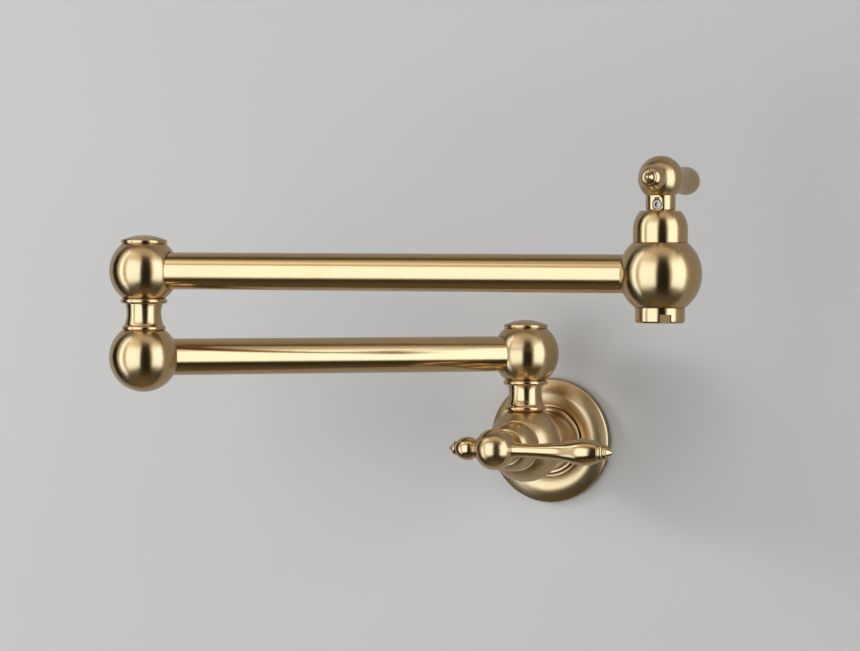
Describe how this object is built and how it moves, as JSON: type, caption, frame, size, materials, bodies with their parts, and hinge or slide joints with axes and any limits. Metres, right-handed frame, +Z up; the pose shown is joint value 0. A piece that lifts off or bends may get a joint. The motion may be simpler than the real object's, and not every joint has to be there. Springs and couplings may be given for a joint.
{
  "type": "wall mounted pot filler",
  "caption": "Double jointed folding water spout for a wall over a hob, with a lever valve at the wall and another at the spout.",
  "frame": {"origin": "on the wall, at the middle of the inlet", "axes": "+Y into the wall along the inlet, +Z up along the swivels, +X to the right seen from the front"},
  "size_m": [0.3619, 0.2467, 0.2159],
  "materials": {
    "satin_gold": "finely brushed antique gold plating",
    "polished_gold": "polished antique gold plating",
    "plain_brass": "machined brass",
    "steel": "stainless steel",
    "rubber": "matte black rubber",
    "ceramic": "ground white ceramic",
    "white_plastic": "moulded white plastic"
  },
  "bodies": {
    "wall_valve": {"wall_flange": "satin_gold", "flange_gasket": "rubber", "flange_collar": "polished_gold", "valve_body": "satin_gold", "inlet_washer": "rubber", "seat_seal_1": "rubber", "cartridge_1": "plain_brass", "fixed_disc_1": "ceramic", "cartridge_1_o_ring": "rubber", "bonnet_1": "polished_gold", "post_1": "polished_gold", "post_1_o_rings": "rubber", "pivot_1_plate": "steel", "pivot_1_screw": "steel"},
    "lower_arm": {"ball_1": "satin_gold", "cap_1": "polished_gold", "thrust_washers_1": "white_plastic", "arm_tube_1": "satin_gold", "ball_2": "satin_gold", "post_2": "polished_gold", "post_2_o_rings": "rubber", "pivot_2_plate": "steel", "pivot_2_screw": "steel"},
    "upper_arm": {"ball_3": "satin_gold", "cap_2": "polished_gold", "thrust_washers_2": "white_plastic", "arm_tube_2": "satin_gold", "spout_ball": "satin_gold", "seat_seal_2": "rubber", "cartridge_2": "plain_brass", "fixed_disc_2": "ceramic", "cartridge_2_o_ring": "rubber", "bonnet_2": "polished_gold", "aerator_shell": "polished_gold", "aerator_washer": "rubber", "aerator_screen": "steel", "aerator_insert": "white_plastic"},
    "handle_1": {"hub_1": "satin_gold", "lever_1": "polished_gold", "finial_1": "polished_gold", "set_screw_1": "steel", "spindle_1": "plain_brass", "spindle_1_o_ring": "rubber", "spindle_1_clip": "steel", "moving_disc_1": "ceramic"},
    "handle_2": {"hub_2": "satin_gold", "lever_2": "polished_gold", "finial_2": "polished_gold", "set_screw_2": "steel", "spindle_2": "plain_brass", "spindle_2_o_ring": "rubber", "spindle_2_clip": "steel", "moving_disc_2": "ceramic"}
  },
  "joints": [
    {"name": "lower_arm_swing", "type": "hinge", "parent": "wall_valve", "child": "lower_arm", "pos_m": [0, -0.05, 0.0573], "axis": [0, 0, 1], "range_deg": [-44.5, 135.5]},
    {"name": "upper_arm_swing", "type": "hinge", "parent": "lower_arm", "child": "upper_arm", "pos_m": [-0.17903, -0.22593, 0.1091], "axis": [0, 0, 1], "continuous": true},
    {"name": "wall_valve_turn", "type": "hinge", "parent": "wall_valve", "child": "handle_1", "pos_m": [0, -0.104, 0], "axis": [0, 1, 0], "range_deg": [0, 90]},
    {"name": "spout_valve_turn", "type": "hinge", "parent": "upper_arm", "child": "handle_2", "pos_m": [0.13845, -0.20762, 0.1631], "axis": [0, 0, 1], "range_deg": [-90, 0]}
  ]
}
